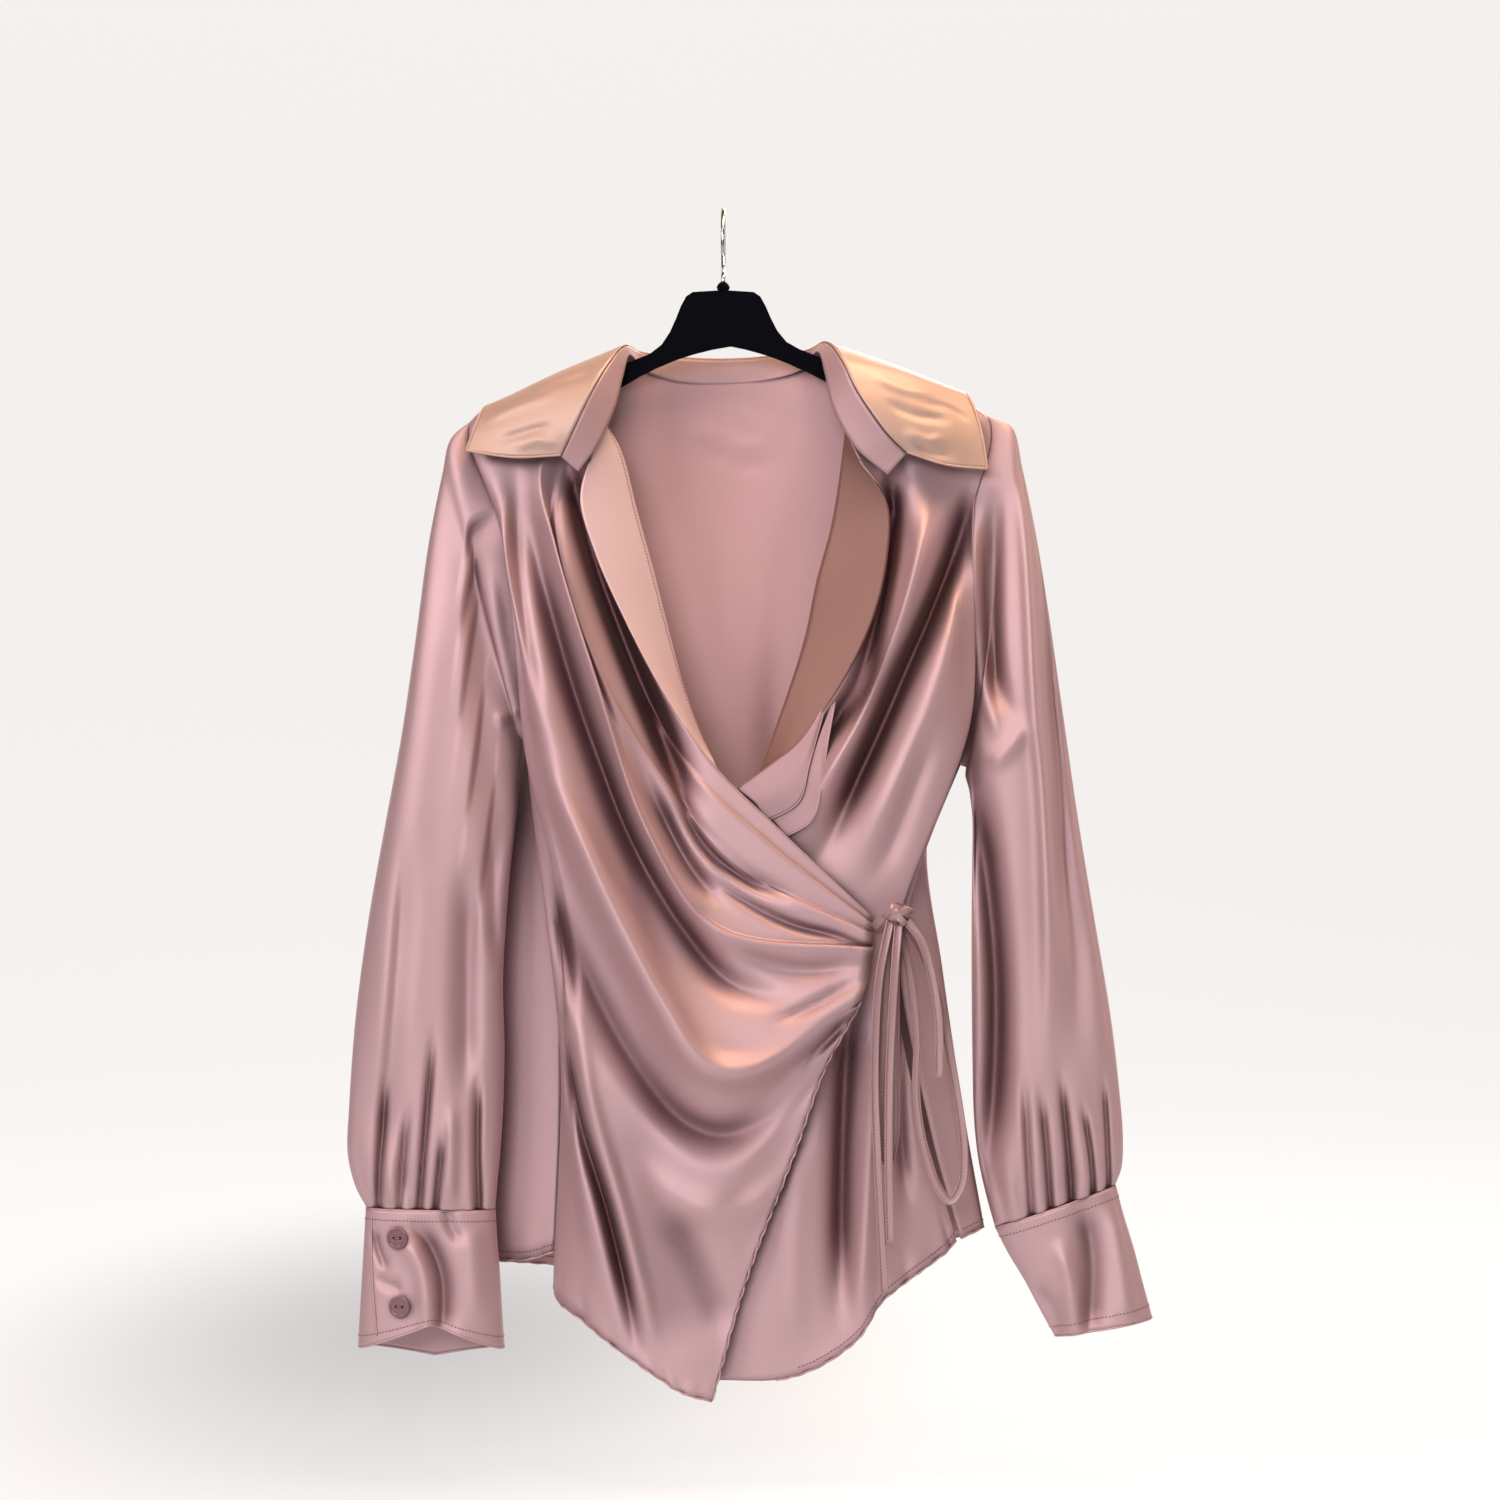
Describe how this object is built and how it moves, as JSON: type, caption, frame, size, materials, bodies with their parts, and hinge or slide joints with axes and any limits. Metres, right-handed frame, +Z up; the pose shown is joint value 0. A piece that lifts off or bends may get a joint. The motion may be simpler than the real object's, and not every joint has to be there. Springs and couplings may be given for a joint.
{
  "type": "wrap top on a hanger",
  "caption": "Long-sleeved satin wrap top with a wide pointed collar, pleated side tie and buttoned cuffs, hung on a plain black hanger.",
  "frame": {"origin": "inner top of the hanger's hook, where a rail carries it", "axes": "+Z up; the front with the V neck faces -Y; +X is to the viewer's right, the side of the tie"},
  "size_m": [0.5284, 0.0952, 0.779],
  "materials": {
    "satin": "satin",
    "satin_trim": "satin",
    "hanger_black": "matt",
    "hook_steel": "polished",
    "button_pink": "gloss"
  },
  "bodies": {
    "root": {"hanger": "hanger_black", "hook_boss": "hanger_black", "hook": "hook_steel", "front_over": "satin", "front_under": "satin", "back": "satin", "facing_over": "satin", "facing_under": "satin", "collar_stand": "satin", "collar_fall": "satin", "sleeve_left": "satin", "sleeve_right": "satin", "cuff_left": "satin", "cuff_right": "satin", "button_left_top": "button_pink", "button_left_low": "button_pink", "button_right_top": "button_pink", "button_right_low": "button_pink", "tie_knot": "satin_trim", "tie_strap": "satin_trim", "tie_loop_right": "satin_trim", "tie_loop_left": "satin_trim", "tie_end_right": "satin_trim", "tie_end_left_short": "satin_trim", "tie_end_left_long": "satin_trim"}
  },
  "joints": []
}
